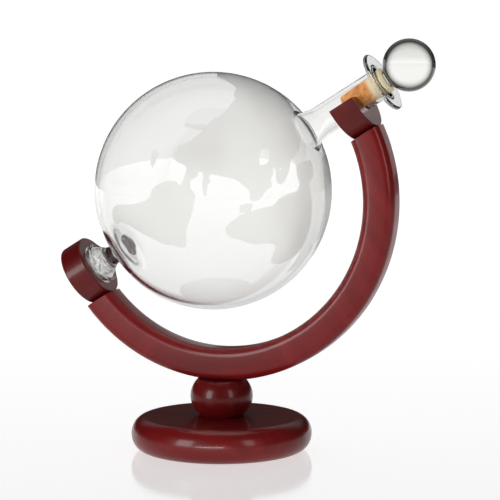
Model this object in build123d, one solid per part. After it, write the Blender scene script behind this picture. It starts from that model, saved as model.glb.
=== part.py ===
from build123d import *
import os
from math import asin, cos, degrees, pi, radians, sin, sqrt

# Globe decanter in a wooden cradle. Millimetres and degrees.
# The origin is the centre of the base pad's underside, +Z is up, the tilted axis lies in the
# XZ plane, and the neck points to +X.

# ---- driving dimensions ----

# globe and its axis
globe_d = 140.0            # outside diameter of the blown globe
globe_wall = 2.4
axis_tilt = 32.4           # of the decanter's axis, above the horizontal
globe_rise = 6.4           # globe centre above the cradle's centre, square to the axis
globe_shift = 2.0          # globe centre from the cradle's centre, along the axis, towards the cup
bottom_flat = 2.0          # how far the globe's bottom is pressed in from a true sphere
bottom_span = 38.0         # half angle of the flattened bottom
foot_glass = 7.0           # glass thickness over the foot
foot_glass_span = 16.0     # half angle over which the glass thickens to that

# glass foot and its soft ring
stem_d = 11.4              # foot where it joins the globe
waist_d = 10.6
foot_d = 22.0
foot_edge = 3.0            # height of the foot's rounded rim
ring_w = 1.4               # radial width of the soft ring
ring_top = 3.6             # ring's top above the cup's face
ring_round = 0.6

# neck and lip
weld_d = 25.0              # circle where the neck is welded to the globe
neck_d = 18.0
neck_bore = 13.5
flare_len = 11.0           # from the weld to where the neck runs straight
lip_d = 36.4
lip_t = 2.4
lip_fillet = 3.2
lip_gap = 13.6             # from the saddle's outer face to the lip's underside

# stopper
cork_small_d = 11.6
cork_big_d = 15.4
cork_len = 28.6
cork_proud = 2.0           # cork above the lip
cork_chamfer = 0.5
ball_d = 30.3
ball_seat_d = 10.4         # short glass collar between ball and cork
ball_lift = 0.3            # ball's lowest point above the cork
peg_d = 7.0
peg_len = 12.0

# cradle arc
arc_gap = 18.4             # from the globe's radius to the arc's inner face
arc_t = 19.2               # radial thickness
arc_w = 18.4               # width, front to back
arc_edge = 5.0             # rounding of the arc's long edges
joint_angle = 23.0         # glued joints, each side of the arc's lowest point
arc_dowel_d = 5.0
arc_dowel_len = 20.0
arc_dowel_gap = 9.0        # between the two dowels of a joint

# cup at the low end of the arc
cup_d = 37.4
cup_len = 14.4
cup_inset = 1.5            # cup's face outside the arc's inner face
cup_round = 0.9
dish_d = 26.6
dish_depth = 1.2
cup_dowel_d = 6.0
cup_dowel_len = 20.0

# half-round saddle at the high end of the arc
saddle_d = 40.6
saddle_len = 15.7
saddle_inset = 2.5
saddle_round = 0.7
saddle_top = 0.0           # top of the half round above the axis
seat_flat = 0.3            # depth of the flats where cup and saddle sit on the arc's ends
saddle_dowel_d = 5.0
saddle_dowel_len = 17.0
saddle_dowel_gap = 7.4

# bead between base and arc
bead_d = 37.1
bead_h = 22.2
bead_seat_d = 24.0         # bead's circle of contact on the base
bead_widest = 0.55         # height of the bead's widest circle, as a share of its own height
bead_pin_d = 5.0
bead_pin_len = 16.0
bead_pin_x = 8.5

# base
base_d = 107.4
base_t = 20.0
base_edge = 8.5            # horizontal reach of the rounded edge
pad_d = 82.0
pad_t = 1.2
pad_recess = 0.7
screw_d = 5.0
screw_head_d = 9.6
screw_head_h = 3.2
screw_bite = 13.0          # screw's length inside the arc
washer_d = 14.0
washer_t = 1.5
counterbore_d = 16.0
counterbore_depth = 9.0

# clearances
glue_gap = 0.05            # round dowels, pins and the screw
turn_gap = 0.08            # between the foot and its soft ring
seat_gap = 0.1             # between the dish and what rests in it
neck_gap = 0.25            # between the neck and the saddle's trough
cork_gap = 0.08            # between the cork and the ground mouth

# ---- places worked out from them ----

globe_r = globe_d / 2
arc_ri = globe_r + arc_gap
arc_ro = arc_ri + arc_t
arc_rm = (arc_ri + arc_ro) / 2
base_z0 = pad_t - pad_recess
base_z1 = base_z0 + base_t
arc_bottom_z = base_z1 + bead_h
arc_centre = Vector(0, 0, arc_bottom_z + arc_ro)

along = Vector(cos(radians(axis_tilt)), 0, sin(radians(axis_tilt)))
above = Vector(-sin(radians(axis_tilt)), 0, cos(radians(axis_tilt)))
globe_centre = arc_centre + above * globe_rise - along * globe_shift

# local frame on the decanter's axis: Z along the axis to the mouth, X square to it and upwards
axis_frame = Plane(origin=globe_centre, x_dir=above, z_dir=along).location


def arc_end_reach(radius, drop):
    """Distance along the axis from the globe's centre to the arc's face of this radius."""
    below = drop - globe_rise
    return sqrt(radius**2 - below**2)


cup_drop = cup_d / 2 - seat_flat
saddle_drop = saddle_d / 2 - seat_flat
cup_face = globe_shift - arc_end_reach(arc_ri, cup_drop) - cup_inset
cup_back = cup_face - cup_len
saddle_in = globe_shift + arc_end_reach(arc_ri, saddle_drop) + saddle_inset
saddle_out = saddle_in + saddle_len
lip_under = saddle_out + lip_gap
lip_face = lip_under + lip_t
cork_top = lip_face + cork_proud
cork_low = cork_top - cork_len
ball_z = cork_top + ball_lift + ball_d / 2
dish_r = ((dish_d / 2) ** 2 + dish_depth**2) / (2 * dish_depth)
dish_z = cup_face - dish_depth + dish_r


def point(radius, height):
    return (radius, 0, height)


def turned(*edges):
    """Solid turned about the local Z axis from a closed outline of edges in the XZ plane."""
    return revolve(make_face(list(edges)), Axis.Z).solid()


def on_axis(solid):
    return axis_frame * solid


def pin(diameter, length):
    """Plain round pin with small chamfers, centred on the origin along Z."""
    body = Cylinder(diameter / 2, length)
    return chamfer(body.edges().filter_by(GeomType.CIRCLE), diameter / 12)


def bore(diameter, length):
    """Hole for a pin of this size, with room for glue."""
    return Cylinder(diameter / 2 + glue_gap, length + 2 * glue_gap)


def globe_outline_radius(angle):
    """Distance of the globe's outside from its centre, by the angle from the foot."""
    if angle >= bottom_span:
        return globe_r
    return globe_r - bottom_flat * cos(pi / 2 * angle / bottom_span) ** 2


def glass_thickness(angle):
    if angle >= foot_glass_span:
        return globe_wall
    share = cos(pi / 2 * angle / foot_glass_span) ** 2
    return globe_wall + (foot_glass - globe_wall) * share


def bottom_point(angle, inset=0.0):
    """Point of the globe's bottom, by the angle from the foot, inset by a glass thickness."""
    reach = globe_outline_radius(angle) - inset
    return point(reach * sin(radians(angle)), -reach * cos(radians(angle)))


# ---- decanter ----

weld_r = weld_d / 2
weld_z = sqrt(globe_r**2 - weld_r**2)
inner_r = globe_r - globe_wall
weld_in_r = weld_r * inner_r / globe_r
weld_in_z = weld_z * inner_r / globe_r
stem_r = stem_d / 2
stem_angle = degrees(asin(stem_r / (globe_r - bottom_flat)))
stem_z = bottom_point(stem_angle)[2]
neck_r = neck_d / 2
bore_r = neck_bore / 2
flare_z = weld_z + flare_len


def make_globe():
    """Blown globe, pressed flatter and thicker at the foot, open at the weld of the neck."""
    out_angles = [bottom_span, 0.74 * bottom_span, 0.46 * bottom_span]
    outer_low = [bottom_point(a) for a in out_angles] + [point(stem_r, stem_z)]
    in_angles = [bottom_span, 0.74 * bottom_span, foot_glass_span, 0.6 * foot_glass_span, 0.0]
    inner_low = [bottom_point(a, glass_thickness(a)) for a in in_angles]
    start = radians(bottom_span)
    slope = (-cos(start), 0, -sin(start))
    outer_mid = point(globe_r, 0)
    inner_mid = point(inner_r, 0)
    return turned(
        ThreePointArc(point(weld_r, weld_z), outer_mid, outer_low[0]),
        Spline(*outer_low, tangents=(slope, (-1, 0, -0.05))),
        Line(point(stem_r, stem_z), point(0, stem_z)),
        Line(point(0, stem_z), inner_low[-1]),
        Spline(*reversed(inner_low), tangents=((1, 0, 0), (cos(start), 0, sin(start)))),
        ThreePointArc(inner_low[0], inner_mid, point(weld_in_r, weld_in_z)),
        Line(point(weld_in_r, weld_in_z), point(weld_r, weld_z)),
    )


def cork_radius(height):
    """Radius of the tapered cork at a height on the axis."""
    share = (height - cork_low) / cork_len
    return (cork_small_d + (cork_big_d - cork_small_d) * share) / 2


def mouth_taper_z():
    """Height where the ground taper of the mouth runs out into the plain bore."""
    share = (bore_r - cork_gap - cork_small_d / 2) / ((cork_big_d - cork_small_d) / 2)
    return cork_low + cork_len * share


def make_neck():
    """Drawn tube, flared where it is welded to the globe, ground to a taper near the mouth."""
    top = lip_under - lip_fillet
    taper = min(mouth_taper_z(), top - 1)
    top_bore = cork_radius(top) + cork_gap
    return turned(
        Line(point(weld_in_r, weld_in_z), point(weld_r, weld_z)),
        Spline(
            point(weld_r, weld_z),
            point(neck_r, flare_z),
            tangents=((-0.75, 0, 0.66), (0, 0, 1)),
        ),
        Line(point(neck_r, flare_z), point(neck_r, top)),
        Line(point(neck_r, top), point(top_bore, top)),
        Line(point(top_bore, top), point(bore_r, taper)),
        Line(point(bore_r, taper), point(bore_r, flare_z)),
        Spline(
            point(bore_r, flare_z),
            point(weld_in_r, weld_in_z),
            tangents=((0, 0, -1), (0.75, 0, -0.66)),
        ),
    )


def make_lip():
    """Wide fire-polished lip, welded to the end of the neck."""
    low = lip_under - lip_fillet
    edge = lip_t / 2
    rim = lip_d / 2 - edge
    mid = lip_under + edge
    low_bore = cork_radius(low) + cork_gap
    face_bore = cork_radius(lip_face) + cork_gap
    start = point(neck_r + lip_fillet, lip_under)
    bend = lip_fillet * (1 - cos(pi / 4))
    return turned(
        ThreePointArc(point(neck_r, low), point(neck_r + bend, lip_under - bend), start),
        Line(start, point(rim, lip_under)),
        ThreePointArc(point(rim, lip_under), point(lip_d / 2, mid), point(rim, lip_face)),
        Line(point(rim, lip_face), point(face_bore, lip_face)),
        Line(point(face_bore, lip_face), point(low_bore, low)),
        Line(point(low_bore, low), point(neck_r, low)),
    )


def make_foot():
    """Solid glass foot: a waisted stem that swells to a rounded button with a domed end."""
    rim_r = foot_d / 2
    dome_r = dish_r - seat_gap
    base_r = rim_r - foot_edge / 2
    dome_z = dish_z - sqrt(dome_r**2 - base_r**2)
    rim_z = dome_z + foot_edge * 0.75
    length = stem_z - rim_z
    return turned(
        Line(point(0, stem_z), point(stem_r, stem_z)),
        Spline(
            point(stem_r, stem_z),
            point(waist_d / 2, stem_z - 0.3 * length),
            point(waist_d / 2 + 0.2 * (rim_r - waist_d / 2), stem_z - 0.58 * length),
            point(waist_d / 2 + 0.54 * (rim_r - waist_d / 2), stem_z - 0.78 * length),
            point(rim_r, rim_z),
            tangents=((-0.5, 0, -1), (0, 0, -1)),
        ),
        Spline(
            point(rim_r, rim_z),
            point(base_r, dome_z),
            tangents=((0, 0, -1), (-1, 0, -0.2)),
        ),
        ThreePointArc(
            point(base_r, dome_z),
            point(base_r / 2, dish_z - sqrt(dome_r**2 - (base_r / 2) ** 2)),
            point(0, dish_z - dome_r),
        ),
        Line(point(0, dish_z - dome_r), point(0, stem_z)),
    )


def make_foot_ring():
    """Soft clear ring that grips the foot's rim and beds in the cup's dish."""
    inner = foot_d / 2 + turn_gap
    outer = inner + ring_w
    height = ring_top + dish_depth
    ring = Pos(0, 0, cup_face + ring_top - height / 2) * (
        Cylinder(outer, height) - Cylinder(inner, height)
    )
    ring = fillet(ring.edges().filter_by(GeomType.CIRCLE).group_by(Axis.Z)[-1], ring_round)
    bed = Pos(0, 0, dish_z) * Sphere(dish_r - seat_gap)
    return (ring & bed).solid()


# ---- stopper ----

def make_cork():
    """Tapered cork, drilled for the ball's glass peg."""
    low_r = cork_small_d / 2
    top_r = cork_big_d / 2
    body = turned(
        Line(point(0, cork_low), point(low_r - cork_chamfer, cork_low)),
        Line(point(low_r - cork_chamfer, cork_low), point(low_r, cork_low + cork_chamfer)),
        Line(point(low_r, cork_low + cork_chamfer), point(top_r, cork_top - cork_chamfer)),
        Line(point(top_r, cork_top - cork_chamfer), point(top_r - cork_chamfer, cork_top)),
        Line(point(top_r - cork_chamfer, cork_top), point(0, cork_top)),
        Line(point(0, cork_top), point(0, cork_low)),
    )
    depth = peg_len + 2 * glue_gap
    hole = Cylinder(peg_d / 2 + glue_gap, depth)
    return body - Pos(0, 0, cork_top - depth / 2) * hole


def make_ball():
    """Solid glass ball with a short collar and a peg that is glued into the cork."""
    ball = Pos(0, 0, ball_z) * Sphere(ball_d / 2)
    collar_len = ball_z - cork_top
    collar = Pos(0, 0, cork_top + collar_len / 2) * Cylinder(ball_seat_d / 2, collar_len)
    peg = Pos(0, 0, cork_top - peg_len / 2) * Cylinder(peg_d / 2, peg_len)
    peg = chamfer(peg.edges().filter_by(GeomType.CIRCLE).group_by(Axis.Z)[0], peg_d / 12)
    return (ball + collar + peg).solid()


# ---- cradle ----

big = 4 * arc_ro


def below_plane(drop):
    """Half space below a plane parallel to the axis, this far under it, in the axis frame."""
    return Pos(-drop - big / 2, 0, 0) * Box(big, big, big)


def arc_sector(first, last):
    """Part of the arc between two angles about its centre, counted from its lowest point."""
    profile = Plane.YZ * RectangleRounded(arc_w, arc_t, arc_edge)
    at_bottom = Pos(0, 0, -arc_rm) * profile
    turn_axis = Axis((0, 0, 0), (0, -1, 0))
    swept = revolve(at_bottom.rotate(turn_axis, first), turn_axis, revolution_arc=last - first)
    return Pos(*arc_centre) * swept


def joint_dowels(angle):
    """Two dowels across a glued joint of the arc."""
    where = []
    for side in (-1, 1):
        radius = arc_rm + side * arc_dowel_gap / 2
        where.append(
            Pos(*arc_centre) * Rot(0, -angle, 0) * Pos(0, 0, -radius) * Rot(0, 90, 0)
        )
    return where


def cup_dowel_place():
    return axis_frame * Pos(-cup_drop, 0, cup_face - cup_len / 2) * Rot(0, 90, 0)


def saddle_dowel_places():
    mid = (saddle_in + saddle_out) / 2
    return [
        axis_frame * Pos(-saddle_drop, 0, mid + side * saddle_dowel_gap / 2) * Rot(0, 90, 0)
        for side in (-1, 1)
    ]


def make_cup():
    """Short turned cup whose dished face carries the decanter's foot."""
    body = Pos(0, 0, cup_back + cup_len / 2) * Cylinder(cup_d / 2, cup_len)
    body = fillet(body.edges().filter_by(GeomType.CIRCLE), cup_round)
    body -= Pos(0, 0, dish_z) * Sphere(dish_r)
    body -= below_plane(cup_drop)
    return on_axis(body) - cup_dowel_place() * bore(cup_dowel_d, cup_dowel_len)


def make_saddle():
    """Half-round block with a trough for the neck."""
    body = Pos(0, 0, saddle_in + saddle_len / 2) * Cylinder(saddle_d / 2, saddle_len)
    body = fillet(body.edges().filter_by(GeomType.CIRCLE), saddle_round)
    body -= Pos(saddle_top + big / 2, 0, 0) * Box(big, big, big)
    body -= Pos(0, 0, saddle_in) * Cylinder(neck_d / 2 + neck_gap, 4 * saddle_len)
    body -= below_plane(saddle_drop)
    body = on_axis(body)
    for place in saddle_dowel_places():
        body -= place * bore(saddle_dowel_d, saddle_dowel_len)
    return body


def trimmed_arc():
    """The three glued lengths of the arc: low arm, bottom and high arm."""
    low_arm = arc_sector(-90, -joint_angle) & on_axis(below_plane(cup_drop))
    bottom = arc_sector(-joint_angle, joint_angle)
    high_arm = arc_sector(joint_angle, 150) & on_axis(below_plane(saddle_drop))
    for side, arm in ((-1, low_arm), (1, high_arm)):
        for place in joint_dowels(side * joint_angle):
            hole = place * bore(arc_dowel_d, arc_dowel_len)
            bottom -= hole
            if side < 0:
                low_arm -= hole
            else:
                high_arm -= hole
    low_arm -= cup_dowel_place() * bore(cup_dowel_d, cup_dowel_len)
    for place in saddle_dowel_places():
        high_arm -= place * bore(saddle_dowel_d, saddle_dowel_len)
    bottom -= bead_pin_place(1) * bore(bead_pin_d, bead_pin_len)
    bottom -= screw_hole()
    return low_arm, bottom, high_arm


# ---- bead and base ----

screw_z0 = base_z0 + counterbore_depth
screw_tip = arc_bottom_z + screw_bite


def bead_pin_place(side):
    """Pin between base and bead (-1) or between bead and arc (+1)."""
    height = base_z1 if side < 0 else arc_bottom_z
    return Pos(side * bead_pin_x, 0, height)


def screw_hole():
    length = screw_tip - screw_z0
    return Pos(0, 0, screw_z0 + length / 2) * bore(screw_d, length)


def make_bead():
    """Flattened ball, coped on top to the arc's round underside."""
    widest_z = base_z1 + bead_widest * bead_h
    half_d = bead_d / 2
    half_h = bead_widest * bead_h / sqrt(1 - (bead_seat_d / bead_d) ** 2)
    outline = EllipticalCenterArc((0, 0), half_d, half_h, start_angle=-90, arc_size=180)
    upright = Plane(origin=(0, 0, widest_z), x_dir=(1, 0, 0), z_dir=(0, -1, 0)).location
    axis_line = Line(point(0, widest_z + half_h), point(0, widest_z - half_h))
    body = turned(upright * outline, axis_line)
    body &= Pos(0, 0, base_z1 + big / 2) * Box(big, big, big)
    body -= Pos(*arc_centre) * Rot(90, 0, 0) * Cylinder(arc_ro, 2 * bead_d)
    for side in (-1, 1):
        body -= bead_pin_place(side) * bore(bead_pin_d, bead_pin_len)
    return body - screw_hole()


def make_base():
    """Thick turned disc with a fully rounded edge, recessed below for the pad and the screw."""
    flat_r = base_d / 2 - base_edge
    outline = EllipticalCenterArc((0, 0), base_edge, base_t / 2, start_angle=-90, arc_size=180)
    upright = Plane(
        origin=(flat_r, 0, base_z0 + base_t / 2), x_dir=(1, 0, 0), z_dir=(0, -1, 0)
    ).location
    body = turned(
        Line(point(0, base_z0), point(flat_r, base_z0)),
        upright * outline,
        Line(point(flat_r, base_z1), point(0, base_z1)),
        Line(point(0, base_z1), point(0, base_z0)),
    )
    body -= Pos(0, 0, base_z0 + pad_recess / 2) * Cylinder(pad_d / 2 + glue_gap, pad_recess)
    body -= Pos(0, 0, base_z0 + counterbore_depth / 2) * Cylinder(
        counterbore_d / 2, counterbore_depth
    )
    body -= bead_pin_place(-1) * bore(bead_pin_d, bead_pin_len)
    return body - screw_hole()


def make_pad():
    return Pos(0, 0, pad_t / 2) * Cylinder(pad_d / 2, pad_t)


def make_washer():
    ring = Cylinder(washer_d / 2, washer_t) - Cylinder(screw_d / 2 + glue_gap, washer_t)
    return Pos(0, 0, screw_z0 - washer_t / 2) * ring


def make_screw():
    """Screw from under the base through the bead into the arc, with a cross recess."""
    seat = screw_z0 - washer_t
    shank_len = screw_tip - seat - screw_d / 2
    shank = Pos(0, 0, seat + shank_len / 2) * Cylinder(screw_d / 2, shank_len)
    tip = Pos(0, 0, screw_tip - screw_d / 4) * Cone(screw_d / 2, screw_d / 8, screw_d / 2)
    head = Pos(0, 0, seat - screw_head_h / 2) * Cylinder(screw_head_d / 2, screw_head_h)
    head = fillet(head.edges().filter_by(GeomType.CIRCLE).group_by(Axis.Z)[0], screw_head_h / 3)
    body = head + shank + tip
    for turn in (0, 90):
        slot = Box(screw_head_d * 0.55, screw_head_d / 8, screw_head_h)
        body -= Pos(0, 0, seat - screw_head_h) * Rot(0, 0, turn) * slot
    return body


# ---- the parts ----

low_arm, arc_bottom, high_arm = trimmed_arc()

parts = {
    "base_pad": make_pad(),
    "base_disc": make_base(),
    "base_washer": make_washer(),
    "base_screw": make_screw(),
    "stand_bead": make_bead(),
    "bead_pins": [bead_pin_place(side) * pin(bead_pin_d, bead_pin_len) for side in (-1, 1)],
    "arc_low_arm": low_arm,
    "arc_bottom": arc_bottom,
    "arc_high_arm": high_arm,
    "arc_dowels": [
        place * pin(arc_dowel_d, arc_dowel_len)
        for side in (-1, 1)
        for place in joint_dowels(side * joint_angle)
    ],
    "foot_cup": make_cup(),
    "cup_dowel": cup_dowel_place() * pin(cup_dowel_d, cup_dowel_len),
    "neck_saddle": make_saddle(),
    "saddle_dowels": [
        place * pin(saddle_dowel_d, saddle_dowel_len) for place in saddle_dowel_places()
    ],
    "foot_ring": on_axis(make_foot_ring()),
    "glass_foot": on_axis(make_foot()),
    "globe_bulb": on_axis(make_globe()),
    "neck_tube": on_axis(make_neck()),
    "lip_flange": on_axis(make_lip()),
    "cork": on_axis(make_cork()),
    "ball_finial": on_axis(make_ball()),
}

os.makedirs("parts", exist_ok=True)
for name, shape in parts.items():
    pieces = shape if isinstance(shape, list) else [shape]
    solids = [solid for piece in pieces for solid in piece.solids()]
    export_step(solids[0] if len(solids) == 1 else Compound(children=solids), f"parts/{name}.step")
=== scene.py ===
import math

import bmesh
import bpy
import numpy as np
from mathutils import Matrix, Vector


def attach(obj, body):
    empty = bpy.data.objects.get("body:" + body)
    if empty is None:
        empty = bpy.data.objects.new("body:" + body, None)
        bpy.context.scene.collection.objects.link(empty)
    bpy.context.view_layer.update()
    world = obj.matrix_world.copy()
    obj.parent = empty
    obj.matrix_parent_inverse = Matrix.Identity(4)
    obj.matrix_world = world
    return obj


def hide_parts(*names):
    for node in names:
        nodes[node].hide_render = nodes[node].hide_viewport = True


# Globe decanter in a wooden cradle, in the part's own frame: the origin is the centre of the base
# pad's underside, +Z is up, and the neck points to +X. The scene is in metres. Sizes of the pieces
# are written in millimetres and brought to metres by MM.

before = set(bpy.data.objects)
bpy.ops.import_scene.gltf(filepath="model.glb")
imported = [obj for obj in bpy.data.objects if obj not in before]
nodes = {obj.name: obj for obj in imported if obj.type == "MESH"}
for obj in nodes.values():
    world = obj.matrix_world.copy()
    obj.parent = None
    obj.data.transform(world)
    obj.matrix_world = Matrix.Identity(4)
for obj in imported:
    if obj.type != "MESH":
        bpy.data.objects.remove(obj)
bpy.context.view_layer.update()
MM = 0.001
WELD_GAP = 1e-7      # points nearer than this, in metres, are one point

# ---- the decanter's own axis ----

AXIS_TILT = math.radians(32.4)
ALONG = Vector((math.cos(AXIS_TILT), 0, math.sin(AXIS_TILT)))    # to the mouth
ABOVE = Vector((-math.sin(AXIS_TILT), 0, math.cos(AXIS_TILT)))   # square to it, upwards
GLOBE_R = 70.0
GLOBE_WALL = 2.4

# the arc is bent round the cradle's centre. The globe's own centre is raised a little from that,
# square to the axis, and lies a little nearer the foot.
CRADLE_CENTRE = Vector((0, 0, 150.3))
GLOBE_RAISED, GLOBE_TO_FOOT = 6.4, 2.0
GLOBE_CENTRE = CRADLE_CENTRE + ABOVE * GLOBE_RAISED - ALONG * GLOBE_TO_FOOT


def axis_point(radius, height, turn):
    """Point in metres at a radius, a height along the decanter's axis and a turn about it."""
    across = ABOVE * math.cos(turn) + Vector((0, 1, 0)) * math.sin(turn)
    return (GLOBE_CENTRE + ALONG * height + across * radius) * MM


def axis_mark(height):
    """How far along the axis direction, in metres from the origin, a height on the axis lies."""
    return (GLOBE_CENTRE.dot(ALONG) + height) * MM


# ---- making nodes and meshes ----

def new_node(tree, kind, inputs=None, **settings):
    """Adds a node to a tree, applies its settings, and links or fills the inputs named."""
    made = tree.nodes.new(kind)
    for key, value in settings.items():
        setattr(made, key, value)
    for key, value in (inputs or {}).items():
        if hasattr(value, "links"):
            tree.links.new(value, made.inputs[key])
        else:
            made.inputs[key].default_value = value
    return made


def finish_mesh(mesh, smooth_angle=40):
    """Welds points that coincide, turns the normals outwards and shades smoothly."""
    work = bmesh.new()
    work.from_mesh(mesh)
    bmesh.ops.remove_doubles(work, verts=work.verts, dist=WELD_GAP)
    bmesh.ops.recalc_face_normals(work, faces=work.faces)
    work.to_mesh(mesh)
    work.free()
    mesh.shade_smooth()
    mesh.set_sharp_from_angle(angle=math.radians(smooth_angle))


def mesh_piece(name, points, faces, material, smooth_angle=40):
    """Object from points in metres."""
    mesh = bpy.data.meshes.new(name)
    mesh.from_pydata([tuple(p) for p in points], [], faces)
    finish_mesh(mesh, smooth_angle)
    piece = bpy.data.objects.new(name, mesh)
    bpy.context.scene.collection.objects.link(piece)
    mesh.materials.append(material)
    return piece


def turned_faces(rings, around, closed):
    """Faces between rings of points, with an end cap of triangles where a ring is a pole."""
    faces = []
    count = len(rings)
    last = count if closed else count - 1
    for i in range(last):
        a, b = rings[i], rings[(i + 1) % count]
        for k in range(around):
            k2 = (k + 1) % around
            quad = [a[k % len(a)], a[k2 % len(a)], b[k2 % len(b)], b[k % len(b)]]
            flat = list(dict.fromkeys(quad))
            if len(flat) > 2:
                faces.append(flat)
    return faces


def turned_piece(name, outline, around, material, place=axis_point, closed=False,
                 smooth_angle=40):
    """Lathe work: an outline of (radius, height) in millimetres turned about an axis."""
    points, rings = [], []
    for radius, height in outline:
        if radius < 1e-6:
            rings.append([len(points)])
            points.append(place(0, height, 0))
            continue
        rings.append(list(range(len(points), len(points) + around)))
        for k in range(around):
            points.append(place(radius, height, 2 * math.pi * k / around))
    return mesh_piece(name, points, turned_faces(rings, around, closed), material, smooth_angle)


def arc_points(centre, radius, first, last, steps):
    """Points on a circle in the outline's plane; angles in degrees from the radius direction."""
    out = []
    for k in range(steps + 1):
        a = math.radians(first + (last - first) * k / steps)
        out.append((centre[0] + radius * math.cos(a), centre[1] + radius * math.sin(a)))
    return out


def line_points(start, end, steps):
    return [
        (start[0] + (end[0] - start[0]) * k / steps, start[1] + (end[1] - start[1]) * k / steps)
        for k in range(steps + 1)
    ]


def swept_bend(start, start_pull, end, end_pull, steps):
    """Cubic bend from start to end, leaving and arriving along the two pulls."""
    out = []
    for k in range(steps + 1):
        t = k / steps
        h = (2 * t**3 - 3 * t**2 + 1, t**3 - 2 * t**2 + t, -2 * t**3 + 3 * t**2, t**3 - t**2)
        out.append(tuple(
            h[0] * start[i] + h[1] * start_pull[i] + h[2] * end[i] + h[3] * end_pull[i]
            for i in (0, 1)
        ))
    return out


def joined(*runs):
    """Runs of outline points end to end, without repeated points."""
    out = []
    for run in runs:
        for p in run:
            if not out or math.dist(out[-1], p) > 1e-5:
                out.append(p)
    return out


# ---- material nodes ----

class Recipe:
    """One node material: adds nodes, links them, and sets the surface shader's sockets."""

    def __init__(self, name, **sockets):
        self.material = bpy.data.materials.new(name)
        self.material.use_nodes = True
        self.tree = self.material.node_tree
        self.tree.nodes.clear()
        self.out = self.tree.nodes.new("ShaderNodeOutputMaterial")
        self.surface = self.tree.nodes.new("ShaderNodeBsdfPrincipled")
        self.link(self.surface.outputs[0], self.out.inputs["Surface"])
        for socket, value in sockets.items():
            self.surface.inputs[socket.replace("_", " ")].default_value = value

    def link(self, source, target):
        self.tree.links.new(source, target)

    def node(self, kind, inputs=None, **settings):
        return new_node(self.tree, "ShaderNode" + kind, inputs, **settings)

    def axis_height(self):
        """Distance along the decanter's axis direction in metres, from the origin."""
        where = self.node("TexCoord").outputs["Object"]
        return self.node("VectorMath", {0: where, 1: tuple(ALONG)},
                         operation="DOT_PRODUCT").outputs["Value"]

    def place(self, turn=(0, 0, 0), stretch=(1, 1, 1), shift=(0, 0, 0)):
        """Object coordinates, shifted, turned and stretched for one piece's pattern."""
        where = self.node("TexCoord")
        return self.node("Mapping", {
            "Vector": where.outputs["Object"], "Location": shift,
            "Rotation": turn, "Scale": [1 / s for s in stretch],
        }, vector_type="TEXTURE").outputs[0]

    def noise(self, vector, scale, detail=4, rough=0.55, distortion=0.0):
        return self.node("TexNoise", {
            "Vector": vector, "Scale": scale, "Detail": detail,
            "Roughness": rough, "Distortion": distortion,
        }).outputs["Fac"]

    def cells(self, vector, scale, feature="F1"):
        return self.node("TexVoronoi", {"Vector": vector, "Scale": scale},
                         feature=feature).outputs["Distance"]

    def ramp(self, fac, *stops):
        """Colour ramp from (position, colour) stops."""
        made = self.node("ValToRGB", {"Fac": fac})
        band = made.color_ramp
        while len(band.elements) < len(stops):
            band.elements.new(0.5)
        for element, (position, colour) in zip(band.elements, stops):
            element.position = position
            element.color = (*colour, 1)
        return made.outputs["Color"]

    def spread(self, fac, low, high, out_low, out_high):
        return self.node("MapRange", {
            "Value": fac, "From Min": low, "From Max": high,
            "To Min": out_low, "To Max": out_high,
        }, interpolation_type="SMOOTHSTEP").outputs["Result"]

    def mix(self, fac, first, second, blend="MIX"):
        made = self.node("Mix", data_type="RGBA", blend_type=blend)
        for key, value in ((0, fac), (6, first), (7, second)):
            if hasattr(value, "links"):
                self.link(value, made.inputs[key])
            elif key == 0:
                made.inputs[key].default_value = value
            else:
                made.inputs[key].default_value = (*value, 1)
        return made.outputs[2]

    def sum(self, first, second, kind="ADD"):
        return self.node("Math", {0: first, 1: second}, operation=kind).outputs[0]

    def bump(self, height, strength, distance):
        made = self.node("Bump", {
            "Height": height, "Strength": strength, "Distance": distance * MM,
        })
        self.link(made.outputs[0], self.surface.inputs["Normal"])
        return made

    def to(self, socket, value):
        self.link(value, self.surface.inputs[socket])


STAIN_DARK = (0.110, 0.0026, 0.0030)
STAIN_MID = (0.190, 0.0070, 0.0076)
STAIN_LIGHT = (0.290, 0.0170, 0.0170)
TURNED_COLOUR_SCALE = 0.65        # every turned piece is coloured darker than the arc by this factor


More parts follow.
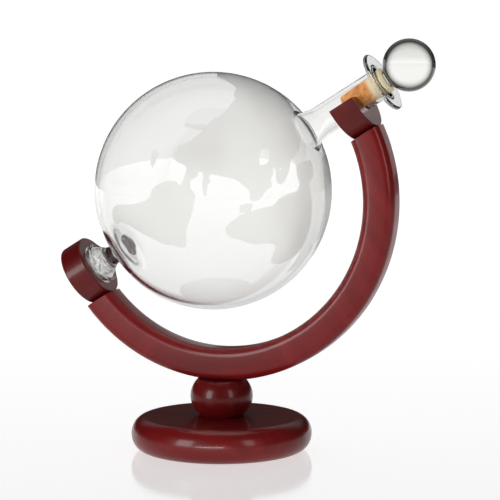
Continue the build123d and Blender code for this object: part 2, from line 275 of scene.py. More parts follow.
def stained_wood(name, grain_turn, lathe_rings=None, depth=1.0):
    """Mahogany-stained hardwood under satin lacquer. The grain runs along the turned X."""
    dark, mid, light = (tuple(depth * c for c in stain)
                        for stain in (STAIN_DARK, STAIN_MID, STAIN_LIGHT))
    wood = Recipe(name, Roughness=0.36, Coat_Weight=0.30, Coat_Roughness=0.13,
                  Specular_IOR_Level=0.20)
    grain = wood.place(turn=grain_turn, stretch=(9, 95, 95))
    broad = wood.place(turn=grain_turn, stretch=(4, 26, 26))
    pores = wood.place(turn=grain_turn, stretch=(90, 1500, 1500))
    streaks = wood.noise(grain, 1.0, 6, 0.62, 0.35)
    clouds = wood.noise(broad, 1.0, 3, 0.5, 0.2)
    pore = wood.noise(pores, 1.0, 2, 0.5)
    tone = wood.sum(wood.sum(streaks, 0.6, "MULTIPLY"), wood.sum(clouds, 0.4, "MULTIPLY"))
    colour = wood.ramp(tone, (0.25, dark), (0.50, mid), (0.78, light))
    pits = wood.spread(pore, 0.26, 0.40, 0.45, 1.0)
    colour = wood.mix(pits, dark, colour)
    height = wood.sum(pits, wood.sum(streaks, 0.6, "MULTIPLY"))
    if lathe_rings:
        where = wood.node("TexCoord").outputs["Object"]
        centre, spacing = lathe_rings
        from_centre = wood.node("VectorMath", {0: where, 1: tuple(centre * MM)},
                                operation="SUBTRACT").outputs[0]
        reach = wood.node("VectorMath", {0: from_centre}, operation="LENGTH").outputs["Value"]
        wave = wood.sum(wood.sum(reach, 2 * math.pi / (spacing * MM), "MULTIPLY"), 0.0, "SINE")
        height = wood.sum(height, wood.sum(wave, 0.25, "MULTIPLY"))
        colour = wood.mix(wood.spread(wave, 0.2, 1.0, 0.0, 0.22), colour, dark)
    wood.to("Base Color", colour)
    wood.to("Roughness", wood.spread(streaks, 0.3, 0.7, 0.38, 0.30))
    wood.bump(height, 0.18, 0.025)
    return wood.material


def beech(name):
    wood = Recipe(name, Roughness=0.6)
    grain = wood.place(stretch=(30, 30, 220))
    tone = wood.noise(grain, 1.0, 5, 0.6)
    wood.to("Base Color", wood.ramp(tone, (0.3, (0.42, 0.24, 0.12)), (0.7, (0.68, 0.46, 0.27))))
    wood.bump(tone, 0.3, 0.05)
    return wood.material


def felt(name):
    cloth = Recipe(name, Roughness=0.95, Sheen_Weight=0.4, Sheen_Roughness=0.5)
    where = cloth.place()
    fibres = cloth.noise(where, 1400, 5, 0.7, 1.2)
    patches = cloth.noise(where, 90, 3)
    colour = cloth.ramp(fibres, (0.3, (0.012, 0.011, 0.011)), (0.7, (0.050, 0.047, 0.045)))
    cloth.to("Base Color", cloth.mix(cloth.spread(patches, 0.3, 0.7, 0, 0.35), colour,
                                     (0.02, 0.018, 0.018)))
    cloth.bump(fibres, 0.8, 0.15)
    return cloth.material


def zinc_steel(name):
    metal = Recipe(name, Metallic=1.0, Roughness=0.35)
    where = metal.place()
    spangle = metal.cells(where, 900)
    tone = metal.noise(where, 260, 4)
    metal.to("Base Color", metal.ramp(tone, (0.3, (0.52, 0.53, 0.55)), (0.7, (0.72, 0.73, 0.74))))
    metal.to("Roughness", metal.spread(spangle, 0.0, 0.8, 0.26, 0.45))
    metal.bump(tone, 0.15, 0.02)
    return metal.material


def add_absorption(glass, colour, density):
    """Slight grey body colour of the glass, which shows in thick edges."""
    body = glass.node("VolumeAbsorption")
    body.inputs["Color"].default_value = (*colour, 1)
    body.inputs["Density"].default_value = density
    glass.link(body.outputs[0], glass.out.inputs["Volume"])


GLASS_TINT = (0.62, 0.66, 0.64)
GLASS_DENSITY = 9.0
FOOT_SHADE_FULL, FOOT_SHADE_END = -76.0, -71.5     # heights of the foot's painted shade, a dark mottle in the glass colour, mm
WAX_START, WAX_FULL = 114.0, 117.0       # heights where the cork turns pale, mm
WAX_PITCH = 1.3
LATHE_PITCH = 1.1


def painted_dark_rim(glass, start, end, clear, dark):
    """Painted shade: colour that turns greyer where the surface is seen edge-on, for the dark
    edges that refraction shows.
    """
    facing = glass.node("LayerWeight", {"Blend": 0.5}).outputs["Facing"]
    return glass.mix(glass.spread(facing, start, end, 0.0, 1.0), clear, dark)


def clear_glass(name, density, ripple):
    glass = Recipe(name, Roughness=0.0, IOR=1.47, Transmission_Weight=1.0)
    # base colour with a painted dark rim (painted shade) where the ball is seen edge-on
    glass.to("Base Color", painted_dark_rim(glass, 0.20, 0.52, (0.975, 0.965, 0.93),
                                     (0.004, 0.0036, 0.003)))
    where = glass.place()
    glass.bump(glass.noise(where, 55, 2, 0.4), 0.5, ripple)
    add_absorption(glass, GLASS_TINT, density)
    return glass.material


def etched_glass(name):
    """Clear blown glass with its map frosted by sandblasting, from the piece's own etch value."""
    glass = Recipe(name, IOR=1.47, Transmission_Weight=1.0)
    where = glass.place()
    etch = glass.node("Attribute", attribute_name="etch").outputs["Fac"]
    ragged = glass.noise(where, 900, 3, 0.6)
    edge = glass.sum(etch, glass.sum(glass.sum(ragged, 0.5, "SUBTRACT"), 0.35, "MULTIPLY"))
    frost = glass.spread(edge, -0.12, 0.22, 0.0, 1.0)
    speckle = glass.noise(where, 2600, 2, 0.5)
    tone = glass.ramp(speckle, (0.3, (0.79, 0.78, 0.755)), (0.7, (0.87, 0.86, 0.835)))
    # on the thin wall the clear colour holds a painted dark rim (painted shade) at the globe's
    # edge
    wall = glass.node("Attribute", attribute_name="thin_wall").outputs["Fac"]
    clear = glass.mix(wall, (0.962, 0.962, 0.952), painted_dark_rim(
        glass, 0.76, 0.97, (0.972, 0.972, 0.962), (0.20, 0.20, 0.195)))
    # painted shade in the foot: a dark mottle mixed into the glass colour, for the dark the thick
    # foot shows by refraction
    foot = glass.spread(glass.axis_height(), axis_mark(FOOT_SHADE_FULL), axis_mark(FOOT_SHADE_END),
                        0.85, 0.0)
    foot_shade_mottle = glass.ramp(glass.noise(where, 230, 3, 0.6, 1.2), (0.40, (0.10, 0.095, 0.085)),
                       (0.56, (0.95, 0.95, 0.93)))
    clear = glass.mix(foot, clear, foot_shade_mottle)
    glass.to("Base Color", glass.mix(frost, clear, tone))
    glass.to("Roughness", glass.spread(frost, 0.0, 1.0, 0.0, 0.34))
    ripple = glass.noise(where, 38, 2, 0.4)
    grit = glass.sum(glass.sum(speckle, frost, "MULTIPLY"), 0.25, "MULTIPLY")
    glass.bump(glass.sum(ripple, grit), 0.5, 0.03)
    add_absorption(glass, GLASS_TINT, GLASS_DENSITY)
    return glass.material


def soft_ring(name):
    ring = Recipe(name, Roughness=0.04, IOR=1.14, Transmission_Weight=1.0)
    where = ring.place()
    haze = ring.noise(where, 420, 3)
    ring.to("Base Color", ring.ramp(haze, (0.3, (0.86, 0.87, 0.86)), (0.7, (0.97, 0.97, 0.96))))
    ring.bump(haze, 0.2, 0.02)
    return ring.material


def cork_material(name):
    cork = Recipe(name, Roughness=0.8, Specular_IOR_Level=0.3)
    where = cork.place()
    grains = cork.cells(where, 620)
    body = cork.noise(where, 240, 5, 0.6)
    fine = cork.noise(where, 1500, 3, 0.6)
    colour = cork.ramp(body, (0.28, (0.42, 0.130, 0.020)), (0.5, (0.80, 0.310, 0.060)),
                       (0.72, (0.95, 0.50, 0.17)))
    speck = cork.noise(where, 700, 4, 0.7, 0.8)
    colour = cork.mix(cork.spread(speck, 0.62, 0.70, 0.0, 0.85), colour, (0.10, 0.035, 0.012))
    colour = cork.mix(cork.spread(fine, 0.55, 0.8, 0.0, 0.35), colour, (0.72, 0.48, 0.26))
    lift = cork.axis_height()
    pale = cork.spread(lift, axis_mark(WAX_START), axis_mark(WAX_FULL), 0.0, 1.0)
    rings = cork.sum(cork.sum(lift, 2 * math.pi / (WAX_PITCH * MM), "MULTIPLY"), 0.0, "SINE")
    wax = cork.mix(cork.spread(rings, 0.1, 0.9, 0.0, 0.6), (0.93, 0.80, 0.54), (0.62, 0.45, 0.22))
    cork.to("Base Color", cork.mix(pale, colour, wax))
    cork.bump(cork.sum(grains, fine), 0.5, 0.12)
    return cork.material


# ---- sizes along the decanter's axis, mm ----

BOTTOM_FLAT, BOTTOM_SPAN = 2.0, 38.0
FOOT_GLASS, FOOT_SPAN = 7.0, 16.0
STEM_R, WAIST_R, FOOT_R, FOOT_EDGE = 5.7, 5.3, 11.0, 3.0
CUP_FACE = -87.08
DISH_R, DISH_DEPTH = 74.3, 1.2
DOME_R = DISH_R - 0.1
DISH_Z = CUP_FACE - DISH_DEPTH + DISH_R
WELD_R, NECK_R, BORE_R = 12.5, 9.0, 6.75
LIP_R, LIP_T, LIP_FILLET = 18.2, 2.4, 3.2
LIP_UNDER = 121.15
LIP_FACE = LIP_UNDER + LIP_T
CORK_LOW, CORK_TOP, CORK_SMALL, CORK_BIG = 96.95, 125.55, 5.8, 7.7
CORK_GAP = 0.08
BALL_R, BALL_Z, COLLAR_R, PEG_R, PEG_LEN = 15.15, 141.0, 5.2, 3.5, 12.0


def cork_radius(height):
    return CORK_SMALL + (CORK_BIG - CORK_SMALL) * (height - CORK_LOW) / (CORK_TOP - CORK_LOW)


def bottom_reach(angle):
    """Distance of the globe's outside from its centre, by the angle from the foot in degrees."""
    if angle >= BOTTOM_SPAN:
        return GLOBE_R
    return GLOBE_R - BOTTOM_FLAT * math.cos(math.pi / 2 * angle / BOTTOM_SPAN) ** 2


def bottom_wall(angle):
    if angle >= FOOT_SPAN:
        return GLOBE_WALL
    share = math.cos(math.pi / 2 * angle / FOOT_SPAN) ** 2
    return GLOBE_WALL + (FOOT_GLASS - GLOBE_WALL) * share


def globe_points(first, last, steps, inset=False):
    out = []
    for k in range(steps + 1):
        angle = first + (last - first) * k / steps
        reach = bottom_reach(angle) - (bottom_wall(angle) if inset else 0.0)
        turn = math.radians(angle)
        out.append((reach * math.sin(turn), -reach * math.cos(turn)))
    return out


def decanter_outline():
    """Outside from the foot to the lip, then the inside back to the bottom of the bulb."""
    stem_angle = math.degrees(math.asin(STEM_R / (GLOBE_R - BOTTOM_FLAT)))
    stem_z = -bottom_reach(stem_angle) * math.cos(math.radians(stem_angle))
    base_r = FOOT_R - FOOT_EDGE / 2
    dome_z = DISH_Z - math.sqrt(DOME_R**2 - base_r**2)
    rim_z = dome_z + FOOT_EDGE * 0.75
    rise = stem_z - rim_z
    dome_turn = math.degrees(math.asin(base_r / DOME_R))
    dome = arc_points((0, DISH_Z), DOME_R, -90, -90 + dome_turn, 8)
    rim = swept_bend((base_r, dome_z), (2.4, 0.5), (FOOT_R, rim_z), (0, 2.8), 8)
    swell = WAIST_R + 0.2 * (FOOT_R - WAIST_R)
    shoulder = swept_bend((FOOT_R, rim_z), (0, 4.2), (swell, rim_z + 0.42 * rise), (-2.6, 3.2), 12)
    waist = swept_bend((swell, rim_z + 0.42 * rise), (-2.0, 3.4),
                       (WAIST_R, rim_z + 0.72 * rise), (0, 2.6), 8)
    stem = swept_bend((WAIST_R, rim_z + 0.72 * rise), (0, 2.4), (STEM_R + 0.5, stem_z - 0.1),
                      (1.3, 1.2), 8)
    weld_angle = 180 - math.degrees(math.asin(WELD_R / GLOBE_R))
    weld_z = math.sqrt(GLOBE_R**2 - WELD_R**2)
    inner = (GLOBE_R - GLOBE_WALL) / GLOBE_R
    flare_z = weld_z + 11.0
    low = LIP_UNDER - LIP_FILLET
    top_bore = cork_radius(low) + CORK_GAP
    face_bore = cork_radius(LIP_FACE) + CORK_GAP
    share = (BORE_R - CORK_GAP - CORK_SMALL) / (CORK_BIG - CORK_SMALL)
    taper_z = CORK_LOW + (CORK_TOP - CORK_LOW) * share
    rim_r = LIP_R - LIP_T / 2
    soft = 0.35
    return joined(
        dome, rim, shoulder, waist, stem,
        globe_points(stem_angle + 0.9, weld_angle, 150),
        swept_bend((WELD_R, weld_z), (-7.0, 6.2), (NECK_R, flare_z), (0, 9.0), 22),
        line_points((NECK_R, flare_z), (NECK_R, low), 14),
        arc_points((NECK_R + LIP_FILLET, low), LIP_FILLET, 180, 90, 10),
        line_points((NECK_R + LIP_FILLET, LIP_UNDER), (rim_r, LIP_UNDER), 3),
        arc_points((rim_r, LIP_UNDER + LIP_T / 2), LIP_T / 2, -90, 90, 12),
        line_points((rim_r, LIP_FACE), (face_bore + soft, LIP_FACE), 4),
        arc_points((face_bore + soft, LIP_FACE - soft), soft, 90, 180, 4),
        line_points((face_bore, LIP_FACE - soft), (top_bore, low), 4),
        line_points((top_bore, low), (BORE_R, taper_z), 4),
        line_points((BORE_R, taper_z), (BORE_R, flare_z), 12),
        swept_bend((BORE_R, flare_z), (0, -9.0), (WELD_R * inner, weld_z * inner),
                   (7.0, -6.2), 18),
        globe_points(weld_angle, 0.0, 104, inset=True),
    )


# ---- the etched map: coastlines as (latitude, longitude), degrees ----
# The neck is north. Longitude 0 faces the front and grows eastwards.

MAP_LANDS = {
    "land": [
        # southern land below the isthmus, its tip towards the foot
        [(-37, -9), (-36, -13), (-33, -16), (-29, -16), (-20, -10), (-12, -7), (-8, -7),
         (-5, -10), (-1, -10), (4, -9), (7, -7), (8, -4), (10, -2), (12, 1), (12, 4), (10, 6),
         (6, 10), (2, 13), (-1, 15), (-4, 19), (-6, 22), (-9, 21), (-11, 18), (-15, 16),
         (-18, 11), (-22, 6), (-25, 1), (-28, -3), (-32, -7), (-35, -7)],
        # isthmus
        [(9, 0), (7, -3), (10, -5), (13, -8), (15, -10), (19, -7), (18, -4), (16, -3),
         (13, -4), (12, 0)],
        # northern land
        [(15, -9), (14, -12), (12, -14), (11, -17), (13, -20), (17, -21), (21, -21), (24, -23),
         (28, -24), (31, -27), (35, -30), (38, -31), (43, -36), (45, -41), (48, -45), (47, -52),
         (49, -60), (44, -68), (37, -76), (36, -92), (50, -105), (70, -110), (82, -80), (80, -30),
         (79, 10), (70, 24), (61, 22), (57, 27), (50, 30), (47, 28), (45, 25), (40, 24), (37, 25),
         (34, 25), (32, 23), (31, 21), (34, 18), (33, 14), (32, 9), (29, 5), (26, 2), (23, -1),
         (20, -4), (18, -6)],
        # long cape off its west coast, islands of the warm sea, an eastern island
        [(27, -25), (30, -25), (31, -28), (27, -29), (21, -33), (19, -32), (23, -29)],
        [(22, -4), (23, -2), (20, 2), (15, 8), (15, 5), (17, 1), (20, -3)],
        [(21, 1), (22, 2), (20, 3)],
        [(25, 21), (26, 20), (31, 23), (31, 25), (28, 26), (24, 23)],
        # great northern island by the pole
        [(62, 30), (67, 36), (72, 50), (66, 60), (58, 52), (56, 43), (58, 35)],
        # land with the western bulge and the cape to the south
        [(13, 26), (15, 24), (23, 24), (29, 27), (34, 30), (38, 34), (42, 34), (45, 37),
         (49, 39), (52, 44), (57, 42), (60, 50), (55, 61), (46, 69), (38, 72), (31, 73),
         (25, 71), (21, 67), (18, 62), (17, 58), (19, 56),
         (23, 54), (26, 52), (23, 46), (19, 42), (16, 35), (13, 30)],
        # great eastern land behind, with its two southern capes
        [(40, 92), (52, 88), (64, 82), (74, 95), (76, 140), (74, 190), (68, 220), (58, 238),
         (44, 240), (34, 232), (28, 216), (29, 200), (27, 184), (30, 172), (27, 160), (20, 161),
         (14, 164), (6, 164), (4, 158), (5, 150), (3, 142), (8, 136), (14, 128), (12, 118),
         (2, 112), (10, 106), (22, 102), (28, 97), (34, 94)],
        # southern island continent behind, crescent isles and the islands between
        [(-26, -146), (-26, -142), (-23, -140), (-19, -140), (-15, -142), (-10, -144),
         (-5, -147), (-2, -151), (-1, -157), (-4, -162), (-9, -166), (-14, -165), (-18, -160),
         (-20, -157), (-24, -152)],
        [(4, -26), (5, -24), (3, -23), (1, -23), (-1, -21), (0, -20), (-1, -19), (0, -18),
         (2, -20), (3, -21), (5, -22), (6, -24)],
        [(-27, -132), (-29, -130), (-32, -130), (-34, -132), (-35, -136), (-36, -140),
         (-35, -139), (-33, -136), (-31, -133), (-29, -133)],
    ],
    "water": [
        # bay, straits and lakes that stay clear
        [(50, 1), (52, 0), (54, 3), (52, 8), (49, 11), (45, 9), (46, 7), (47, 4)],
        [(50, 15), (51, 18), (47, 24), (47, 32), (42, 27), (45, 23), (45, 21), (49, 19)],
        [(53, 19), (54, 21), (52, 21)],
        [(55, 30), (56, 36), (54, 41), (49, 40), (47, 34), (51, 32)],
    ],
}


FAR_FROM_COAST, ETCH_LIMIT = 99.0, 6.0      # mm


def smooth_coast(corners):
    """Rounds a closed outline of listed corners by cutting them twice."""
    line = np.array(corners, float)
    for _ in range(2):
        ahead = np.roll(line, -1, axis=0)
        leaving, arriving = 0.78 * line + 0.22 * ahead, 0.22 * line + 0.78 * ahead
        line = np.stack([leaving, arriving], 1).reshape(-1, 2)
    return line


def unit(lat, lon):
    """Direction in the axis frame: x above, y to the back, z along the axis."""
    lat, lon = np.radians(lat), np.radians(lon)
    return np.stack([-np.cos(lat) * np.sin(lon), -np.cos(lat) * np.cos(lon), np.sin(lat)], -1)


def etch_depth(directions):
    """Signed distance in mm from the nearest coast, positive on land, for unit directions."""
    best = np.full(len(directions), -FAR_FROM_COAST)
    for kind, outlines in MAP_LANDS.items():
        for corners in outlines:
            line = smooth_coast(corners)
            ring = unit(line[:, 0], line[:, 1])
            centre = ring.mean(0)
            centre /= np.linalg.norm(centre)
            side = np.cross(centre, (0.13, 0.2, 0.97))
            side /= np.linalg.norm(side)
            top = np.cross(side, centre)

            def flat(v):
                """Equidistant flat map about the land's own centre, in mm."""
                depth = np.clip(v @ centre, -1, 1)
                away = np.arccos(depth)
                across = np.stack([v @ side, v @ top], -1)
                size = np.linalg.norm(across, axis=1)
                return across / np.maximum(size, 1e-9)[:, None] * (away * GLOBE_R)[:, None]

            shore = flat(ring)
            reach = np.linalg.norm(shore, axis=1).max() + 4
            near = np.where(np.arccos(np.clip(directions @ centre, -1, 1)) * GLOBE_R < reach)[0]
            if not len(near):
                continue
            p = flat(directions[near])
            a, b = shore, np.roll(shore, -1, axis=0)
            gap = np.full(len(p), 1e9)
            inside = np.zeros(len(p), bool)
            for s, e in zip(a, b):
                run = e - s
                share = np.clip(((p - s) @ run) / max(run @ run, 1e-12), 0, 1)
                gap = np.minimum(gap, np.linalg.norm(s + share[:, None] * run - p, axis=1))
                crosses = (s[1] > p[:, 1]) != (e[1] > p[:, 1])
                with np.errstate(divide="ignore", invalid="ignore"):
                    at = s[0] + (p[:, 1] - s[1]) / (e[1] - s[1]) * run[0]
                inside ^= crosses & (p[:, 0] < at)
            depth = np.where(inside, gap, -gap)
            if kind == "land":
                best[near] = np.maximum(best[near], depth)
            else:
                best[near] = np.minimum(best[near], -depth)
    return np.clip(best, -ETCH_LIMIT, ETCH_LIMIT)


# ---- glass ----

def store_value(piece, name, values):
    """Keeps one number for each point of a mesh, for its material to read."""
    kept = piece.data.attributes.new(name, "FLOAT", "POINT")
    kept.data.foreach_set("value", values.astype(np.float32))


def mark_glass(piece):
    """Marks where the map is etched, on the globe's outside only, and where the wall is thin."""
    spots = np.array([v.co for v in piece.data.vertices], float) / MM - np.array(GLOBE_CENTRE)
    local = np.stack([spots @ np.array(ABOVE), spots[:, 1], spots @ np.array(ALONG)], -1)
    reach = np.linalg.norm(local, axis=1)
    skin = 0.2
    on_globe = (reach > GLOBE_R - BOTTOM_FLAT - skin) & (reach < GLOBE_R + skin)
    etch = etch_depth(local / reach[:, None])
    etch[~on_globe] = -ETCH_LIMIT
    store_value(piece, "etch", etch)
    height = local[:, 2]
    thick_foot = 12
    thin = (height > -GLOBE_R + thick_foot) & (height < LIP_UNDER - LIP_FILLET)
    store_value(piece, "thin_wall", thin)


decanter = turned_piece("decanter_glass", decanter_outline(), 176,
                        etched_glass("etched_map_glass"), smooth_angle=50)
mark_glass(decanter)
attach(decanter, "decanter")
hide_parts("globe_bulb", "neck_tube", "lip_flange", "glass_foot")


def finial_outline():
    """Peg, collar and ball in one outline from the peg's end to the ball's top."""
    peg_end = CORK_TOP - PEG_LEN
    join = math.degrees(math.asin((COLLAR_R + 0.4) / BALL_R))
    join_z = BALL_Z - BALL_R * math.cos(math.radians(join))
    return joined(
        [(0, peg_end)],
        line_points((PEG_R - 0.6, peg_end), (PEG_R, peg_end + 0.6), 2),
        line_points((PEG_R, peg_end + 0.6), (PEG_R, CORK_TOP + 0.02), 6),
        [(COLLAR_R - 0.3, CORK_TOP + 0.02)],
        swept_bend((COLLAR_R, CORK_TOP + 0.15), (0, 0.5), (COLLAR_R + 0.4, join_z), (0.6, 0.4), 4),
        arc_points((0, BALL_Z), BALL_R, -90 + join, 90, 90)[1:-1],
        [(0, BALL_Z + BALL_R)],
    )


ball = turned_piece("ball_finial_glass", finial_outline(), 128,
                    clear_glass("polished_ball_glass", density=4.0, ripple=0.0), smooth_angle=50)
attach(ball, "stopper")
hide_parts("ball_finial")


def ring_outline():
    """Section of the soft ring round the foot: square to the dish below, rounded above."""
    inner, outer, round_r = FOOT_R + 0.08, FOOT_R + 1.48, 0.6
    top = CUP_FACE + 3.6

    def bed(radius):
        return DISH_Z - math.sqrt(DOME_R**2 - radius**2)

    return joined(
        [(inner + 0.15, bed(inner + 0.15)), (outer - 0.15, bed(outer - 0.15))],
        [(outer, bed(outer) + 0.18)],
        line_points((outer, bed(outer) + 0.5), (outer, top - round_r), 6),
        arc_points((outer - round_r, top - round_r), round_r, 0, 90, 6),
        arc_points((inner + round_r, top - round_r), round_r, 90, 180, 6),
        line_points((inner, top - round_r), (inner, bed(inner) + 0.18), 6),
    )


ring = turned_piece("foot_ring_soft", ring_outline(), 128, soft_ring("clear_soft_ring"),
                    closed=True)
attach(ring, "foot_ring_body")
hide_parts("foot_ring")

# ---- cork ----


def cork_outline():
    chamfer = 0.5
    return joined(
        line_points((0, CORK_LOW), (CORK_SMALL - chamfer, CORK_LOW), 10),
        line_points((CORK_SMALL - chamfer, CORK_LOW), (CORK_SMALL, CORK_LOW + chamfer), 3),
        line_points((CORK_SMALL, CORK_LOW + chamfer), (CORK_BIG, CORK_TOP - chamfer), 96),
        line_points((CORK_BIG, CORK_TOP - chamfer), (CORK_BIG - chamfer, CORK_TOP), 3),
        line_points((CORK_BIG - chamfer, CORK_TOP), (PEG_R + 0.05, CORK_TOP), 8),
        line_points((PEG_R + 0.05, CORK_TOP), (PEG_R + 0.05, CORK_TOP - PEG_LEN - 0.1), 3),
        [(0, CORK_TOP - PEG_LEN - 0.1)],
    )


def press_pits(piece, count, seed):
    """Sinks the small pits of natural cork into its side and ends."""
    rng = np.random.default_rng(seed)
    co = np.array([v.co for v in piece.data.vertices], float)
    normal = np.array([v.normal for v in piece.data.vertices], float)
    rest = co - np.array(GLOBE_CENTRE * MM)
    height = rest @ np.array(ALONG)
    radius = np.linalg.norm(rest - height[:, None] * np.array(ALONG), axis=1)
    shown = radius > (PEG_R + 0.6) * MM
    sink = np.zeros(len(co))
    for _ in range(count):
        at = rng.uniform(CORK_LOW, CORK_TOP)
        turn = rng.uniform(0, 2 * math.pi)
        middle = np.array(axis_point(cork_radius(at), at, turn))
        wide, deep = rng.uniform(0.25, 0.85) * MM, rng.uniform(0.12, 0.42) * MM
        far = np.linalg.norm(co - middle, axis=1) / wide
        sink = np.maximum(sink, deep * np.clip(1 - far**2, 0, 1))
    co -= normal * (sink * shown)[:, None]
    piece.data.vertices.foreach_set("co", co.ravel())
    piece.data.update()


cork = turned_piece("cork_stopper", cork_outline(), 144, cork_material("natural_cork"))
press_pits(cork, 260, 7)
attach(cork, "stopper")
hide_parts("cork")

# ---- the cradle's three bent lengths ----

ARC_INNER, ARC_THICK, ARC_WIDE, ARC_EDGE = 88.4, 19.2, 18.4, 5.0
ARC_JOINT = math.radians(23)
CUP_SEAT, SADDLE_SEAT = 12.0, 13.6     # seats' distance below the arc's centre, square to the axis


def bent_length_tree():
    """Geometry Nodes for a bar with rounded edges, bent round the cradle's centre.

    Each end face lies in a plane square to the arc's own plane. A seat of 0 puts that plane
    through the centre, as at a glued joint, and a larger one moves it that far below."""
    tree = bpy.data.node_groups.new("bent_length", "GeometryNodeTree")
    for label, kind in (
        ("Inner Radius", "Float"), ("Thickness", "Float"), ("Width", "Float"),
        ("Edge Rounding", "Float"), ("First Angle", "Float"), ("Last Angle", "Float"),
        ("First Seat", "Float"), ("Last Seat", "Float"), ("Centre Height", "Float"),
        ("Steps", "Int"), ("Finish", "Material"),
    ):
        tree.interface.new_socket(label, in_out="INPUT", socket_type="NodeSocket" + kind)
    tree.interface.new_socket("Geometry", in_out="OUTPUT", socket_type="NodeSocketGeometry")

    def add(kind, inputs=None, **settings):
        return new_node(tree, kind, inputs, **settings)

    def work(kind, first, second=0.0):
        return add("ShaderNodeMath", {0: first, 1: second}, operation=kind).outputs[0]

    given = add("NodeGroupInput").outputs
    outline = add("GeometryNodeCurvePrimitiveQuadrilateral", {
        "Width": given["Width"], "Height": given["Thickness"]}).outputs[0]
    rounded = add("GeometryNodeFilletCurve", {
        "Curve": outline, "Count": 10, "Radius": given["Edge Rounding"],
    }, mode="POLY").outputs[0]
    spine = add("GeometryNodeCurvePrimitiveLine", {"End": (0, 0, 1)}).outputs[0]
    stepped = add("GeometryNodeResampleCurve", {
        "Curve": spine, "Count": given["Steps"]}).outputs[0]
    bar = add("GeometryNodeCurveToMesh", {
        "Curve": stepped, "Profile Curve": rounded, "Fill Caps": True}).outputs[0]

    straight = add("ShaderNodeSeparateXYZ", {
        0: add("GeometryNodeInputPosition").outputs[0]}).outputs
    middle = work("ADD", given["Inner Radius"], work("MULTIPLY", given["Thickness"], 0.5))
    reach = work("ADD", middle, straight["Y"])
    first = work("ADD", given["First Angle"],
                 work("ARCSINE", work("DIVIDE", given["First Seat"], reach)))
    last = work("SUBTRACT", given["Last Angle"],
                work("ARCSINE", work("DIVIDE", given["Last Seat"], reach)))
    angle = work("ADD", first, work("MULTIPLY", straight["Z"], work("SUBTRACT", last, first)))
    bent = add("ShaderNodeCombineXYZ", {
        "X": work("MULTIPLY", reach, work("COSINE", angle)),
        "Y": straight["X"],
        "Z": work("ADD", given["Centre Height"], work("MULTIPLY", reach, work("SINE", angle))),
    }).outputs[0]
    bow = add("GeometryNodeSetPosition", {"Geometry": bar, "Position": bent}).outputs[0]
    real = add("GeometryNodeRealizeInstances", {"Geometry": bow}).outputs[0]
    done = add("GeometryNodeSetMaterial", {
        "Geometry": real, "Material": given["Finish"]}).outputs[0]
    add("NodeGroupOutput", {"Geometry": done})
    return tree


def bent_length(name, tree, finish, sizes):
    """One glued length of the arc as a plain mesh, made by the tree from its named sizes."""
    holder = bpy.data.objects.new(name, bpy.data.meshes.new(name + "_start"))
    bpy.context.scene.collection.objects.link(holder)
    rule = holder.modifiers.new("bent_length", "NODES")
    rule.node_group = tree
    values = {
        "Inner Radius": ARC_INNER * MM, "Thickness": ARC_THICK * MM, "Width": ARC_WIDE * MM,
        "Edge Rounding": ARC_EDGE * MM, "Centre Height": CRADLE_CENTRE.z * MM,
        "Finish": finish, **sizes,
    }
    for socket in tree.interface.items_tree:
        if socket.in_out == "INPUT":
            rule[socket.identifier] = values[socket.name]
    seen = holder.evaluated_get(bpy.context.evaluated_depsgraph_get())
    mesh = bpy.data.meshes.new_from_object(seen)
    holder.modifiers.remove(rule)
    mesh.name = name
    finish_mesh(mesh)
    holder.data = mesh
    return holder


bow_tree = bent_length_tree()
lowest = -math.pi / 2
bows = []
for part, turn, first, last, first_seat, last_seat, steps in (
    ("low_arm", -55, AXIS_TILT - math.pi, lowest - ARC_JOINT, CUP_SEAT, 0.0, 30),
    ("bottom", 0, lowest - ARC_JOINT, lowest + ARC_JOINT, 0.0, 0.0, 47),
    ("high_arm", 55, lowest + ARC_JOINT, AXIS_TILT, 0.0, SADDLE_SEAT, 92),
):
    finish = stained_wood("stain_bow_" + part, (0, math.radians(turn), 0))
    bow = bent_length("bow_" + part, bow_tree, finish, {
        "First Angle": first, "Last Angle": last, "First Seat": first_seat * MM,
        "Last Seat": last_seat * MM, "Steps": steps,
    })
    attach(bow, "stand")
    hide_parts("arc_" + part)
    bows.append(bow)

# ---- the bead under the arc ----

BEAD_LOW, BEAD_WIDEST, BEAD_R, BEAD_RISE = 20.5, 32.71, 18.55, 16.01
BEAD_FOOT_R = 12.0
BEAD_TOP_ANGLE = 62      # degrees up the side where the cope begins


def bead_point(radius, height, turn):
    """Point on the upright bead, pressed down to the arc's round underside where it is above."""
    across, deep = radius * math.cos(turn), radius * math.sin(turn)
    outer = ARC_INNER + ARC_THICK
    under = CRADLE_CENTRE.z - math.sqrt(outer**2 - across**2)
    return Vector((across, deep, min(height, under))) * MM


def bead_outline():
    first = -math.degrees(math.acos(BEAD_FOOT_R / BEAD_R))
    side = [(BEAD_R * x, BEAD_WIDEST + BEAD_RISE * z)
            for x, z in arc_points((0, 0), 1.0, first, BEAD_TOP_ANGLE, 72)]
    end_r, end_z = side[-1]
    cope = line_points((end_r, end_z), (0, end_z), 14)
    return joined(line_points((0, BEAD_LOW), (BEAD_FOOT_R, BEAD_LOW), 6), side, cope)


bead = turned_piece("turned_bead", bead_outline(), 128, stained_wood(
    "stain_turned_bead", (0, math.radians(90), 0), depth=TURNED_COLOUR_SCALE), place=bead_point)
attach(bead, "stand")
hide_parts("stand_bead")

# ---- wood, felt and fixings keep their solids ----

SADDLE_MIDDLE = 99.7
QUARTER = math.radians(90)


def refinish(name, material):
    nodes[name].data.materials.clear()
    nodes[name].data.materials.append(material)


for name, grain_turn, ring_height in (
    ("foot_cup", (0, 0, QUARTER), CUP_FACE),
    ("neck_saddle", (0, 0, QUARTER), SADDLE_MIDDLE),
    ("base_disc", (0, 0, 0), None),
):
    rings = None
    if ring_height is not None:
        rings = (GLOBE_CENTRE + ALONG * ring_height, LATHE_PITCH)
    refinish(name, stained_wood("stain_" + name, grain_turn, rings, TURNED_COLOUR_SCALE))

